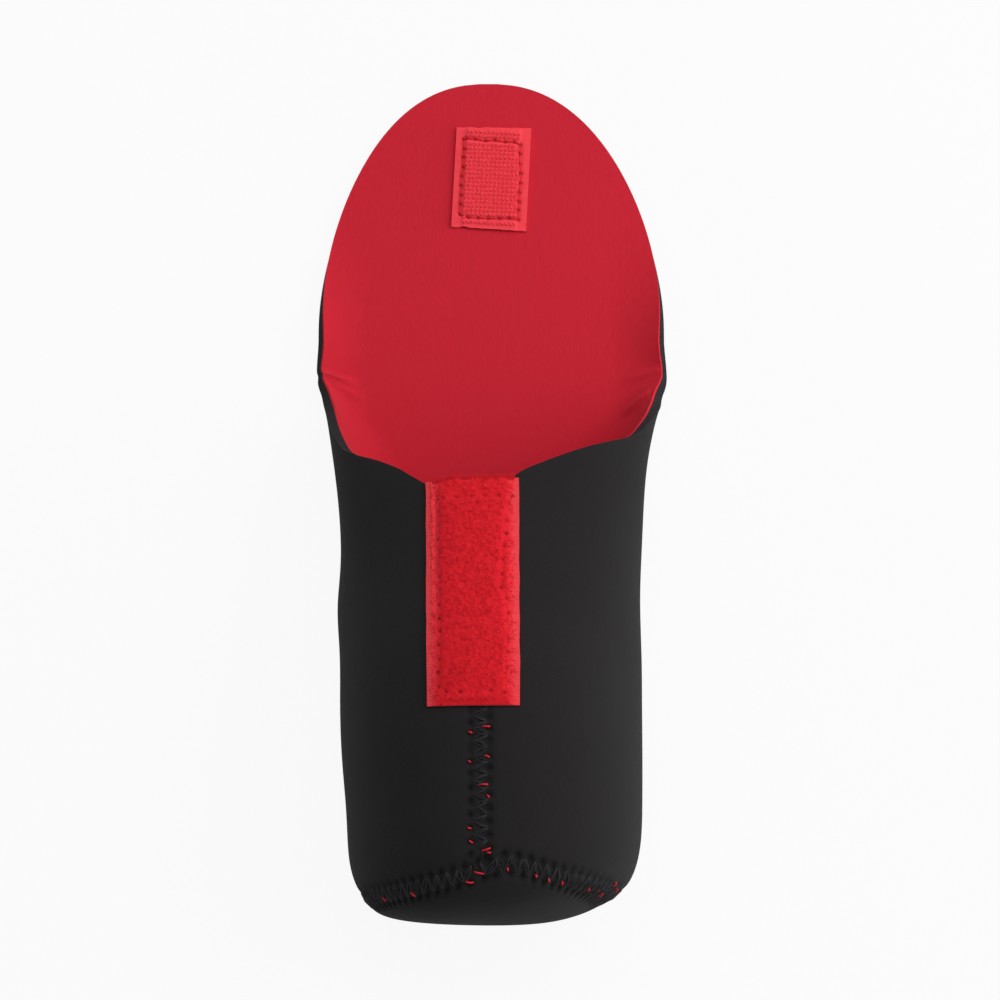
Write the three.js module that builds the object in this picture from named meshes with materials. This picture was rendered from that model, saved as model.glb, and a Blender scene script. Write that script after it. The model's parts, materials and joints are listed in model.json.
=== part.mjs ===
// Soft neoprene lens pouch, lying open on its back with its flap laid flat behind the mouth.
// Millimetres, +Z up. X runs across the pouch, Y runs from the closed base to the tip of the flap.
// Heights along the pouch are counted from the lowest point of the base until the last section,
// which moves the origin to the middle of the resting face.
//
// Every panel is a laminate: a jersey face, a foam core and a jersey lining, joined by two glue lines.
// The body is one sheet wrapped round and butted at the front, the base is a second sheet butted to it,
// and the flap carries on from the back of the body, bending at the mouth and again near its tip.
import * as THREE from "three";

// Laminate
const JERSEY = 0.6;
const FOAM = 1.5;
const GLUE_LINE = 0.3;

// Pocket
const BODY_WIDTH = 86;
const BODY_DEPTH = 70;
const POCKET_LENGTH = 150; // from the lowest point of the base to the fold of the flap
const BACK_FLAT_WIDTH = 42; // strip of the back that rests flat
const FRONT_LEAN_DEG = 18.2; // the front wall sinks towards the mouth by this angle
const FRONT_LEAN_LENGTH = 104; // how far below the fold that lean begins
const FRONT_LEAN_EASE = 30; // length over which the lean sets in
const FRONT_ROUNDNESS = 2.3; // exponent of the rounded front, where 2 is an ellipse

// Mouth
const MOUTH_WIDTH = 98; // outside width at the fold of the flap
const MOUTH_FLARE_LENGTH = 50;
const MOUTH_FLAT_WIDTH = 74; // flat of the back at the fold
const MOUTH_FLAT_LENGTH = 35;
const NOTCH_DEPTH = 8; // dip in the front rim where the two edges of the wrap meet
const NOTCH_WIDTH = 64;
const RIM_CLEARANCE = 1.5; // the rim stays this far under the closed flap

// Base
const BASE_CORNER_HEIGHT = 36; // height over which the walls round into the base
const BASE_ROUNDNESS = 3.4;
const BASE_CENTRE_SHARE = 0.47; // height of the middle of the base, as a share of the depth
const BASE_SEAM_HEIGHT = 6.2; // of the base seam at the back
const BASE_SEAM_PEAK = 9; // the seam climbs by this much to a peak at the front
const BASE_SEAM_PEAK_X = 4.8; // right of the middle
const BASE_SEAM_REACH_LEFT = 0.125; // share of half the loop over which it falls away on the left
const BASE_SEAM_REACH_RIGHT = 0.19;

// Flap
const FLAP_LENGTH = 103.6; // from its fold to its tip
const FLAP_WIDTH = 104.4;
const FLAP_WIDEST_AT = 20; // from the fold
const TIP_FOLD_AT = 55; // the second bend, from the first
const FLAP_CLOSED_DEG = 113.6;
const FOLD_GAP = 0.3;

// Hook and loop tapes
const LOOP_TAPE_WIDTH = 25;
const LOOP_TAPE_LENGTH = 66;
const LOOP_TAPE_DROP = 27.3; // top edge of the tape, below the fold of the flap
const LOOP_TAPE_SHIFT = -4.6; // the tape lies left of the middle
const HOOK_TAPE_WIDTH = 22.5;
const HOOK_TAPE_LENGTH = 31.5;
const HOOK_TAPE_FROM_TIP = 14;
const HOOK_TAPE_TURN_DEG = -4; // sewn on a little askew
const TAPE_GROUND = 0.7;
const TAPE_PILE = 1.2;
const SELVAGE = 3.4; // bare border of a tape, where it is sewn down
const SEAT_GAP = 0.3; // between a piece and what it lies on

// Seams
const SEAM_SHIFT = -2.8; // the front seam lies left of the middle
const SEAM_GAP = 0.4; // between butted edges
const STITCH_WIDTH = 5.2; // of the zigzag across a butted seam
const STITCH_PITCH = 2.6;
const THREAD = 0.7;
const TAPE_THREAD = 0.6;
const TAPE_STITCH_INSET = 2; // line of stitches round a tape, from its edge

// How finely the soft walls are divided
const WALL_COLUMNS = 40;
const WALL_ROWS = 12;
const BASE_RINGS = 5;
const BACK_FLAT_SHARE = 0.25; // share of half the loop given to the flat
const BACK_CORNER_SHARE = 0.55; // share of half the loop up to the widest point
const NORMAL_STEP = 0.001;
const RIM_STEPS = 12;
const CURVE_SEGMENTS = 10;
const TAPE_COLUMNS = 6;
const TAPE_ROWS = 9;
const TAPE_SIDE_STEPS = 6;

const WALL = 2 * JERSEY + FOAM + 2 * GLUE_LINE;
const FOLD_Y = POCKET_LENGTH;
const TIP_Y = FOLD_Y + FLAP_LENGTH;
const TIP_FOLD_Y = FOLD_Y + TIP_FOLD_AT;
const LAYERS = {
  outer_jersey: [0, JERSEY],
  foam_core: [JERSEY + GLUE_LINE, WALL - JERSEY - GLUE_LINE],
  lining: [WALL - JERSEY, WALL],
};

const jerseyBlack = new THREE.MeshStandardMaterial({ color: 0x232123, roughness: 0.85, metalness: 0 });
const foamGrey = new THREE.MeshStandardMaterial({ color: 0x2c2c2e, roughness: 0.95, metalness: 0 });
const liningRed = new THREE.MeshStandardMaterial({ color: 0xbe2234, roughness: 0.8, metalness: 0 });
const tapeRed = new THREE.MeshStandardMaterial({ color: 0xdd2c3a, roughness: 0.7, metalness: 0 });
const pileRed = new THREE.MeshStandardMaterial({ color: 0xcc1b27, roughness: 1, metalness: 0 });
const threadBlack = new THREE.MeshStandardMaterial({ color: 0x161416, roughness: 0.6, metalness: 0 });
const threadRed = new THREE.MeshStandardMaterial({ color: 0x8f1620, roughness: 0.6, metalness: 0 });
const LAYER_MATERIALS = { outer_jersey: jerseyBlack, foam_core: foamGrey, lining: liningRed };

const { lerp, clamp, degToRad } = THREE.MathUtils;

// Cross-section of the pocket at a height y

function halfWidth(y) {
  const flare = clamp((y - FOLD_Y + MOUTH_FLARE_LENGTH) / MOUTH_FLARE_LENGTH, 0, 1);
  return lerp(BODY_WIDTH, MOUTH_WIDTH, flare ** 2) / 2;
}

function backFlat(y) {
  const spread = clamp((y - FOLD_Y + MOUTH_FLAT_LENGTH) / MOUTH_FLAT_LENGTH, 0, 1);
  return lerp(BACK_FLAT_WIDTH, MOUTH_FLAT_WIDTH, spread ** 2) / 2;
}

// The front wall is level below the lean, then bends over FRONT_LEAN_EASE into a straight slope.
function frontHeight(y) {
  const along = Math.max(0, y - FOLD_Y + FRONT_LEAN_LENGTH);
  const eased = along < FRONT_LEAN_EASE ? along ** 2 / (2 * FRONT_LEAN_EASE) : along - FRONT_LEAN_EASE / 2;
  return BODY_DEPTH - eased * Math.tan(degToRad(FRONT_LEAN_DEG));
}

// The loop position q is 0 at the middle of the back, 1 at the middle of the front, negative on the left.
function sectionAt(q, y) {
  const wrapped = q > 1 ? q - 2 : q < -1 ? q + 2 : q;
  const share = Math.abs(wrapped);
  const side = wrapped < 0 ? -1 : 1;
  const half = halfWidth(y);
  const flat = backFlat(y);
  const corner = half - flat;
  if (share <= BACK_FLAT_SHARE) return { x: (side * flat * share) / BACK_FLAT_SHARE, z: 0 };
  if (share <= BACK_CORNER_SHARE) {
    const turn = ((share - BACK_FLAT_SHARE) / (BACK_CORNER_SHARE - BACK_FLAT_SHARE)) * (Math.PI / 2);
    return { x: side * (flat + corner * Math.sin(turn)), z: corner * (1 - Math.cos(turn)) };
  }
  const turn = ((share - BACK_CORNER_SHARE) / (1 - BACK_CORNER_SHARE)) * (Math.PI / 2);
  const power = 2 / FRONT_ROUNDNESS;
  return {
    x: side * half * Math.max(0, Math.cos(turn)) ** power,
    z: corner + (frontHeight(y) - corner) * Math.sin(turn) ** power,
  };
}

// Share of the full section that is left at a height y, as the walls round into the base.
function baseShare(y) {
  const down = clamp((BASE_CORNER_HEIGHT - y) / BASE_CORNER_HEIGHT, 0, 1);
  return (1 - down ** BASE_ROUNDNESS) ** (1 / BASE_ROUNDNESS);
}

function heightOfShare(share) {
  return BASE_CORNER_HEIGHT * (1 - (1 - share ** BASE_ROUNDNESS) ** (1 / BASE_ROUNDNESS));
}

const BASE_CENTRE_Z = BASE_CENTRE_SHARE * BODY_DEPTH;

function scaledSection(q, y, share) {
  const { x, z } = sectionAt(q, y);
  return new THREE.Vector3(x * share, y, BASE_CENTRE_Z + (z - BASE_CENTRE_Z) * share);
}

const wallPoint = (q, y) => scaledSection(q, y, baseShare(y));
const basePoint = (q, share) => scaledSection(q, heightOfShare(share), share);

// Outward normal of a surface given by a loop position and a second coordinate that grows upwards.
function normalOf(surface, q, second, step) {
  const along = surface(q + NORMAL_STEP, second).sub(surface(q - NORMAL_STEP, second));
  const up = surface(q, second + step).sub(surface(q, second - step));
  return up.cross(along).normalize();
}

// Towards the fold the thickness turns square to the pouch, so that the edge there stays clear of the flap.
function wallPointInside(q, y, depth) {
  const normal = normalOf(wallPoint, q, y, NORMAL_STEP * BODY_WIDTH);
  normal.y *= clamp((FOLD_Y - y) / MOUTH_FLAT_LENGTH, 0, 1);
  return wallPoint(q, y).addScaledVector(normal.normalize(), -depth);
}

function basePointInside(q, share, depth) {
  return basePoint(q, share).addScaledVector(normalOf(basePoint, q, share, NORMAL_STEP), -depth);
}

// Loop position of a point of the front wall at a distance x from the middle.
function frontLoopAt(x, y) {
  const turn = Math.acos(Math.min(1, Math.abs(x) / halfWidth(y)) ** (FRONT_ROUNDNESS / 2));
  const share = lerp(BACK_CORNER_SHARE, 1, turn / (Math.PI / 2));
  return x < 0 ? -share : share;
}

// The rim is where the wall meets a plane just under the closed flap, dipped by the notch at the front seam.
function rimHeight(q) {
  const slope = Math.tan(Math.PI - degToRad(FLAP_CLOSED_DEG));
  let y = FOLD_Y;
  for (let step = 0; step < RIM_STEPS; step++) {
    y = FOLD_Y - RIM_CLEARANCE - Math.max(0, sectionAt(q, y).z - WALL) / slope;
  }
  const { x, z } = sectionAt(q, y);
  if (z <= WALL) return FOLD_Y - FOLD_GAP / 2 - RIM_CLEARANCE * clamp(z / WALL, 0, 1);
  const onFront = Math.abs(q > 1 ? q - 2 : q) > BACK_CORNER_SHARE ? 1 : 0;
  return y - onFront * NOTCH_DEPTH * Math.max(0, 1 - Math.abs(x - SEAM_SHIFT) / (NOTCH_WIDTH / 2));
}

// The loop positions past the peak, up to the opposite one at the back, lie on its left.
function baseSeamHeight(q) {
  const peakLoop = frontLoopAt(BASE_SEAM_PEAK_X, BASE_CORNER_HEIGHT);
  const past = THREE.MathUtils.euclideanModulo(q - peakLoop, 2);
  const fall = past < 1 ? past / BASE_SEAM_REACH_LEFT : (2 - past) / BASE_SEAM_REACH_RIGHT;
  return BASE_SEAM_HEIGHT + BASE_SEAM_PEAK * Math.exp(-fall);
}

// Closed solid between two matching grids of points. The rows climb, the columns run with the loop.
// A grid that wraps joins its last column to its first, and poles close its last row.
function solidBetween(face, back, { wraps = false, facePole = null, backPole = null } = {}) {
  const rows = face.length;
  const columns = face[0].length;
  const points = [...face.flat(), ...back.flat()];
  const faceAt = (row, column) => row * columns + (column % columns);
  const backAt = (row, column) => rows * columns + faceAt(row, column);
  const triangles = [];
  const quad = (a, b, c, d) => triangles.push(a, b, c, a, c, d);
  const across = wraps ? columns : columns - 1;
  for (let column = 0; column < across; column++) {
    const next = column + 1;
    for (let row = 0; row < rows - 1; row++) {
      quad(faceAt(row, column), faceAt(row + 1, column), faceAt(row + 1, next), faceAt(row, next));
      quad(backAt(row, column), backAt(row, next), backAt(row + 1, next), backAt(row + 1, column));
    }
    quad(faceAt(0, column), faceAt(0, next), backAt(0, next), backAt(0, column));
    const last = rows - 1;
    if (facePole) {
      triangles.push(faceAt(last, column), points.length, faceAt(last, next));
      triangles.push(backAt(last, column), backAt(last, next), points.length + 1);
    } else {
      quad(faceAt(last, column), backAt(last, column), backAt(last, next), faceAt(last, next));
    }
  }
  for (let row = 0; row < rows - 1 && !wraps; row++) {
    const end = columns - 1;
    quad(faceAt(row, 0), backAt(row, 0), backAt(row + 1, 0), faceAt(row + 1, 0));
    quad(faceAt(row, end), faceAt(row + 1, end), backAt(row + 1, end), backAt(row, end));
  }
  if (facePole) points.push(facePole, backPole);
  return new THREE.BufferGeometry().setFromPoints(points).setIndex(triangles);
}

// Thread with a four-sided section. Each ring has a centre and two arms, which span its section.
function threadThrough(rings, closed) {
  const corners = rings.map(({ centre, wide, high }) => [
    centre.clone().add(wide),
    centre.clone().add(high),
    centre.clone().sub(wide),
    centre.clone().sub(high),
  ]);
  const at = (ring, corner) => (ring % rings.length) * 4 + (corner % 4);
  const triangles = [];
  const spans = closed ? rings.length : rings.length - 1;
  for (let ring = 0; ring < spans; ring++) {
    for (let corner = 0; corner < 4; corner++) {
      const [a, b] = [at(ring, corner), at(ring, corner + 1)];
      const [c, d] = [at(ring + 1, corner + 1), at(ring + 1, corner)];
      triangles.push(a, b, c, a, c, d);
    }
  }
  if (!closed) {
    const last = rings.length - 1;
    triangles.push(at(0, 0), at(0, 2), at(0, 1), at(0, 0), at(0, 3), at(0, 2));
    triangles.push(at(last, 0), at(last, 1), at(last, 2), at(last, 0), at(last, 2), at(last, 3));
  }
  return new THREE.BufferGeometry().setFromPoints(corners.flat()).setIndex(triangles);
}

const pouch = new THREE.Group();

function addPiece(name, geometry, material) {
  const mesh = new THREE.Mesh(geometry, material);
  mesh.name = name;
  pouch.add(mesh);
  return mesh;
}

const range = (count, make) => Array.from({ length: count }, (_, index) => make(index));

// Body: one sheet wrapped from the front seam round the back to the front seam again

const seamLoop = frontLoopAt(SEAM_SHIFT, FOLD_Y - MOUTH_FLARE_LENGTH);
const loopLength = 2 * (BODY_WIDTH + BODY_DEPTH) * (Math.PI / 4);
const halfSeamGap = SEAM_GAP / loopLength; // half the gap, as a share of a loop that counts 2

function bodyLayer(from, to) {
  const grid = (depth) =>
    range(WALL_ROWS, (row) => {
      const climb = (1 - Math.cos((Math.PI * row) / (WALL_ROWS - 1))) / 2;
      return range(WALL_COLUMNS + 1, (column) => {
        const q = lerp(seamLoop + halfSeamGap, seamLoop + 2 - halfSeamGap, column / WALL_COLUMNS);
        const y = lerp(baseSeamHeight(q) + SEAM_GAP / 2, rimHeight(q), climb);
        return wallPointInside(q, y, depth);
      });
    });
  return solidBetween(grid(from), grid(to));
}

// Base: an oval sheet, domed and butted to the wall all round

function baseLayer(from, to) {
  const grid = (depth) =>
    range(BASE_RINGS, (ring) =>
      range(WALL_COLUMNS, (column) => {
        const q = seamLoop + (2 * column) / WALL_COLUMNS;
        const edge = baseShare(baseSeamHeight(q) - SEAM_GAP / 2);
        return basePointInside(q, edge * (1 - ring / BASE_RINGS), depth);
      }),
    );
  const pole = (depth) => new THREE.Vector3(0, depth, BASE_CENTRE_Z);
  // The rings run inwards, against the climb, so the two faces change places.
  return solidBetween(grid(to), grid(from), { wraps: true, facePole: pole(to), backPole: pole(from) });
}

// Flap: half an ellipse beyond its widest line, cut across where its tip bends

const ellipseHeight = FLAP_LENGTH - FLAP_WIDEST_AT;
const tipTurn = Math.asin((TIP_FOLD_AT + FOLD_GAP / 2 - FLAP_WIDEST_AT) / ellipseHeight);
const rootTurn = Math.asin((TIP_FOLD_AT - FOLD_GAP / 2 - FLAP_WIDEST_AT) / ellipseHeight);
const widestY = FOLD_Y + FLAP_WIDEST_AT;

function flapRootOutline() {
  const half = FLAP_WIDTH / 2;
  const start = FOLD_Y + FOLD_GAP / 2;
  const middle = (start + widestY) / 2;
  const outline = new THREE.Shape();
  outline.moveTo(-MOUTH_WIDTH / 2, start);
  outline.lineTo(MOUTH_WIDTH / 2, start);
  outline.quadraticCurveTo(half, middle, half, widestY);
  outline.absellipse(0, widestY, half, ellipseHeight, 0, rootTurn, false, 0);
  outline.lineTo(-half * Math.cos(rootTurn), widestY + ellipseHeight * Math.sin(rootTurn));
  outline.absellipse(0, widestY, half, ellipseHeight, Math.PI - rootTurn, Math.PI, false, 0);
  outline.quadraticCurveTo(-half, middle, -MOUTH_WIDTH / 2, start);
  return outline;
}

function flapTipOutline() {
  const half = FLAP_WIDTH / 2;
  const outline = new THREE.Shape();
  outline.moveTo(-half * Math.cos(tipTurn), widestY + ellipseHeight * Math.sin(tipTurn));
  outline.lineTo(half * Math.cos(tipTurn), widestY + ellipseHeight * Math.sin(tipTurn));
  outline.absellipse(0, widestY, half, ellipseHeight, tipTurn, Math.PI - tipTurn, false, 0);
  return outline;
}

function plate(outline, from, to) {
  const options = { depth: to - from, bevelEnabled: false, curveSegments: CURVE_SEGMENTS };
  return new THREE.ExtrudeGeometry(outline, options).translate(0, 0, from);
}

for (const [layer, [from, to]] of Object.entries(LAYERS)) {
  const material = LAYER_MATERIALS[layer];
  addPiece(`body_${layer}`, bodyLayer(from, to), material);
  addPiece(`base_${layer}`, baseLayer(from, to), material);
  addPiece(`flap_${layer}`, plate(flapRootOutline(), from, to), material);
  addPiece(`flap_tip_${layer}`, plate(flapTipOutline(), from, to), material);
}

// Loop tape: a woven ground sewn over the top of the front seam, with a raised pile between its selvages

const tapeTop = FOLD_Y - LOOP_TAPE_DROP;
const tapeBottom = tapeTop - LOOP_TAPE_LENGTH;

// Point over the front wall, at a place on the tape and a height above the jersey.
function overFront(x, y, height) {
  return wallPointInside(frontLoopAt(LOOP_TAPE_SHIFT + x, y), y, -height);
}

function loopTapeLayer(inset, from, to) {
  const half = LOOP_TAPE_WIDTH / 2 - inset;
  const grid = (height) =>
    range(TAPE_ROWS, (row) => {
      const y = lerp(tapeBottom + inset, tapeTop - inset, row / (TAPE_ROWS - 1));
      return range(TAPE_COLUMNS + 1, (column) => {
        const x = lerp(half, -half, column / TAPE_COLUMNS);
        return overFront(x, y, height);
      });
    });
  return solidBetween(grid(to), grid(from));
}

const groundTop = SEAT_GAP + TAPE_GROUND;
const pileTop = groundTop + SEAT_GAP + TAPE_PILE;
addPiece("loop_tape_ground", loopTapeLayer(0, SEAT_GAP, groundTop), tapeRed);
addPiece("loop_tape_pile", loopTapeLayer(SELVAGE, groundTop + SEAT_GAP, pileTop), pileRed);

// Hook tape: the matching tape on the lining of the flap's tip

const hookCentreY = TIP_Y - HOOK_TAPE_FROM_TIP - HOOK_TAPE_LENGTH / 2;

function hookTapeLayer(inset, from, to) {
  const width = HOOK_TAPE_WIDTH - 2 * inset;
  const length = HOOK_TAPE_LENGTH - 2 * inset;
  return new THREE.BoxGeometry(width, length, to - from).translate(0, 0, WALL + (from + to) / 2);
}

const hookTape = new THREE.Group();
hookTape.position.y = hookCentreY;
hookTape.rotation.z = degToRad(HOOK_TAPE_TURN_DEG);
pouch.add(hookTape);
hookTape.add(addPiece("hook_tape_ground", hookTapeLayer(0, SEAT_GAP, groundTop), tapeRed));
hookTape.add(addPiece("hook_tape_hooks", hookTapeLayer(SELVAGE, groundTop + SEAT_GAP, pileTop), tapeRed));

// Lockstitch round a tape: a closed rectangle of thread lying on the border of the ground

const stitchHeight = groundTop + SEAT_GAP + TAPE_THREAD / 2;

function rectangleStitch(width, length, place) {
  const x = width / 2 - TAPE_STITCH_INSET;
  const y = length / 2 - TAPE_STITCH_INSET;
  const corners = [[x, -y], [x, y], [-x, y], [-x, -y]];
  const route = corners.flatMap(([fromX, fromY], index) => {
    const [toX, toY] = corners[(index + 1) % corners.length];
    return range(TAPE_SIDE_STEPS, (step) => [
      lerp(fromX, toX, step / TAPE_SIDE_STEPS),
      lerp(fromY, toY, step / TAPE_SIDE_STEPS),
    ]);
  });
  const rings = route.map(([atX, atY], index) => {
    const centre = place(atX, atY, stitchHeight);
    const high = place(atX, atY, stitchHeight + TAPE_THREAD / 2).sub(centre);
    const [beforeX, beforeY] = route.at(index - 1);
    const [afterX, afterY] = route[(index + 1) % route.length];
    const along = place(afterX, afterY, stitchHeight).sub(place(beforeX, beforeY, stitchHeight));
    const wide = high.clone().cross(along).setLength(TAPE_THREAD / 2);
    return { centre, wide, high };
  });
  return threadThrough(rings, true);
}

const tapeMiddle = (tapeTop + tapeBottom) / 2;
const onLoopTape = (x, y, height) => overFront(x, tapeMiddle + y, height);
const onHookTape = (x, y, height) => new THREE.Vector3(x, y, WALL + height);
addPiece("loop_tape_stitching", rectangleStitch(LOOP_TAPE_WIDTH, LOOP_TAPE_LENGTH, onLoopTape), threadRed);
hookTape.add(
  addPiece("hook_tape_stitching", rectangleStitch(HOOK_TAPE_WIDTH, HOOK_TAPE_LENGTH, onHookTape), threadRed),
);

// Zigzag thread across the butted seams, lying on the jersey

const threadHeight = SEAT_GAP + THREAD / 2;

// A turn of the zigzag. Its section lies square to the seam, wide enough for the steep legs to keep
// their thickness.
function zigzagRing(surface, q, second, along) {
  const centre = surface(q, second, -threadHeight);
  const high = surface(q, second, -threadHeight - THREAD / 2).sub(centre);
  const mitre = Math.hypot(STITCH_WIDTH, STITCH_PITCH) / STITCH_PITCH;
  return { centre, wide: high.clone().cross(along).setLength((mitre * THREAD) / 2), high };
}

function baseSeamThread() {
  const count = 2 * Math.round(loopLength / STITCH_PITCH / 2);
  const seamAt = (index) => {
    const q = -1 + (2 * index) / count;
    return { q, y: baseSeamHeight(q) };
  };
  const rings = range(count, (index) => {
    const { q, y } = seamAt(index);
    const before = seamAt(index - 1);
    const after = seamAt(index + 1);
    const along = wallPoint(after.q, after.y).sub(wallPoint(before.q, before.y));
    const edge = baseShare(y);
    const slide = (STITCH_WIDTH / BODY_WIDTH) * edge;
    const side = index % 2 ? 1 : -1;
    // One needle hole lies in the wall, the next in the base, which slopes inwards much faster.
    return side > 0
      ? zigzagRing(wallPointInside, q, y + STITCH_WIDTH / 2, along)
      : zigzagRing(basePointInside, q, edge - slide, along);
  });
  return threadThrough(rings, true);
}

function frontSeamThread() {
  const top = tapeBottom - STITCH_PITCH;
  const bottom = baseSeamHeight(seamLoop) + STITCH_WIDTH;
  const count = Math.round((top - bottom) / STITCH_PITCH);
  const along = new THREE.Vector3(0, 1, 0);
  const rings = range(count + 1, (index) => {
    const y = lerp(bottom, top, index / count);
    const x = SEAM_SHIFT + (index % 2 ? 1 : -1) * (STITCH_WIDTH / 2);
    return zigzagRing(wallPointInside, frontLoopAt(x, y), y, along);
  });
  return threadThrough(rings, false);
}

addPiece("base_seam_thread", baseSeamThread(), threadBlack);
addPiece("front_seam_thread", frontSeamThread(), threadBlack);

// The origin is on the resting plane, under the middle of the open pouch.
pouch.position.y = -TIP_Y / 2;
const lensPouch = new THREE.Group();
lensPouch.add(pouch);

export default lensPouch;
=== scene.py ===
# A soft lens pouch of foam laminate, lying open on its back, dressed round its fixed frame.
import functools
import json
import math
import random

import bmesh
import bpy
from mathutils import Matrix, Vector, noise


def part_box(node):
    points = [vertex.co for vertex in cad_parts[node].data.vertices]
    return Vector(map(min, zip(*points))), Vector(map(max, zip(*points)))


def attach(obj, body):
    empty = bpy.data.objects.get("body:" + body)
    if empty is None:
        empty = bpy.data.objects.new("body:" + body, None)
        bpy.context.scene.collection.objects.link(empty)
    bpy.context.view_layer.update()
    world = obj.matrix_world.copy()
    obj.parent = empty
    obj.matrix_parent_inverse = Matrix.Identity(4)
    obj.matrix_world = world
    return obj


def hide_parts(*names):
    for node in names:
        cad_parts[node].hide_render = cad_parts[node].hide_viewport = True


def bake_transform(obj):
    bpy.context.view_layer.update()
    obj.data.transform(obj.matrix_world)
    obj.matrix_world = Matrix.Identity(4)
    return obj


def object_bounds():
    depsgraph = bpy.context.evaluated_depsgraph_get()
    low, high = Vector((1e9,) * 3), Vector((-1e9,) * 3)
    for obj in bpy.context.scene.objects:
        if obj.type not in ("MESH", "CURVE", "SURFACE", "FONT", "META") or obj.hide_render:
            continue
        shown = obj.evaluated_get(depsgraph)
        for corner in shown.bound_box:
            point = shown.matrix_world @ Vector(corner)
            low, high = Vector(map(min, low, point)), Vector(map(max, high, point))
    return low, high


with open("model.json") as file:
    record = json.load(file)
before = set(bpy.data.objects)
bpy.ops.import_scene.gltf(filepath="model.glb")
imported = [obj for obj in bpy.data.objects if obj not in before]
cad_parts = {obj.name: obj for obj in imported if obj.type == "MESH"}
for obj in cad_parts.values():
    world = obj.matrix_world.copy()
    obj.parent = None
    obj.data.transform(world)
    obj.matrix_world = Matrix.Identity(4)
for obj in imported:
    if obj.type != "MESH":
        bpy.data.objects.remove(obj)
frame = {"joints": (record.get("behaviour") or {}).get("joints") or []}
cad_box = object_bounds()

# Body and flap sheet, black jersey outside
# One cut sheet makes the pocket and the flap. It is wrapped from the front seam round the back to the
# front seam again, and its back runs on past the mouth as the flap. The outside is a matte black knit.
joints = {joint["name"]: joint for joint in frame["joints"]}
fold = Vector(joints["flap_fold"]["pos_m"])
base_y = cad_box[0].y
fold_v = fold.y - base_y  # heights v run along the pouch from the lowest point of its base
tip_v = cad_box[1].y - base_y
wall = fold.z
jersey_thickness = 0.0006

body_half = 0.043
mouth_half = 0.049
back_flat_half = 0.021
mouth_flat_half = 0.036
body_depth = 0.070
front_lean = math.tan(math.radians(18.2))
lean_from_v = fold_v - 0.104
lean_ease = 0.030
front_roundness = 2.3
corner_v = 0.036
base_roundness = 3.4
base_centre_z = 0.47 * body_depth
base_left_in = 0.002  # the lower left side is drawn in by this much at its most, at this v
base_left_in_v = 0.024
base_left_in_reach = 0.018
base_sag_left = 0.004  # the lowest part of the base sags to the left
base_sag_reach = 0.006
base_seam_back_v = 0.0062
base_seam_peak = 0.009  # how far the base seam climbs at the front, a little right of the middle
base_seam_peak_right = 0.0048
base_seam_reach = (0.0302, 0.0199)  # how soon it falls away again, on the right and on the left
seam_gap = 0.00008
seam_left = 0.0028  # the front seam lies this far left of the middle
seam_sink = 0.0005  # the thread pulls the seams in by this much
seam_sink_reach = 0.0022
stitch_pitch = 0.0036
stitch_reach = 0.0026
needle_depth = 0.0006
needle_reach = 0.0009
notch_v = 0.1135
flap_half = 0.0525
tip_left = 0.0009  # the tip of the flap is cut this far left of the middle
widest_v = fold_v + 0.022
flap_end_powers = (1.75, 0.435)  # of its rounded outline, where 2 and 0.5 make half an ellipse
flat_from_v = fold_v + 0.070
opening_ease = 0.06
crease_v = fold_v + 0.013  # the sides of the flap buckle flat here, above the standing walls
crease_reach = 0.008
crease_flattening = 0.45

# The slanted rim of the mouth as half-widths of the cut sheet at places v along it, right and left.
rim_places = {
    1: [
        *((0.1261, 0.1097), (0.1313, 0.1003), (0.1351, 0.0915), (0.1375, 0.0829), (0.1399, 0.0744)),
        *((0.1430, 0.0706), (0.1494, 0.0590), (0.1515, 0.0561), (0.1535, 0.0541), (0.1555, 0.0530)),
        *((0.1585, 0.0533), (0.1620, 0.0531), (0.1670, 0.0528), (0.1735, 0.0525)),
    ],
    -1: [
        *((0.1239, 0.0987), (0.1285, 0.0928), (0.1323, 0.0826), (0.1338, 0.0749), (0.1369, 0.0707)),
        *((0.1434, 0.0637), (0.1494, 0.0575), (0.1515, 0.0553), (0.1535, 0.0536), (0.1555, 0.0525)),
        *((0.1585, 0.0526), (0.1620, 0.0527), (0.1670, 0.0527), (0.1735, 0.0525)),
    ],
}


def ramp(value, low, high):
    return min(1, max(0, (value - low) / (high - low)))


def bump(distance, width):
    return math.exp(-((distance / width) ** 2))


def flare(value, low, high):
    """A share that grows faster and faster, then settles softly at 1."""
    share = max(0, (value - low) / (high - low)) ** 2
    return (share + 1 - math.hypot(share - 1, 0.15)) / 2


def between(places, share):
    for (share_a, value_a), (share_b, value_b) in zip(places, places[1:]):
        if share <= share_b:
            return value_a + (value_b - value_a) * (share - share_a) / (share_b - share_a)
    return places[-1][1]


@functools.cache
def section_sizes(v):
    """Half-width, half of the flat back, back corner radius and front height of the pouch at v."""
    half = body_half + (mouth_half - body_half) * flare(v, fold_v - 0.05, fold_v)
    flat = back_flat_half + (mouth_flat_half - back_flat_half) * flare(v, fold_v - 0.035, fold_v)
    opened = ramp(v, fold_v, flat_from_v)
    buckle = crease_flattening * bump(v - crease_v, crease_reach)
    curl = (1 - opened**2 / (opened + opening_ease)) ** 2 * (1 - buckle)
    radius = (half - flat) / max(0.001, curl)
    half = flat + radius
    along = max(0, v - lean_from_v)
    leaning = along**2 / (2 * lean_ease) if along < lean_ease else along - lean_ease / 2
    return half, flat, radius, body_depth - leaning * front_lean


def front_arc(half, rise):
    return math.pi / 2 * math.sqrt((half**2 + rise**2) / 2)


@functools.cache
def loop_half(v):
    half, flat, radius, front = section_sizes(v)
    return flat + radius * math.pi / 2 + front_arc(half, front - radius)


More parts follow.
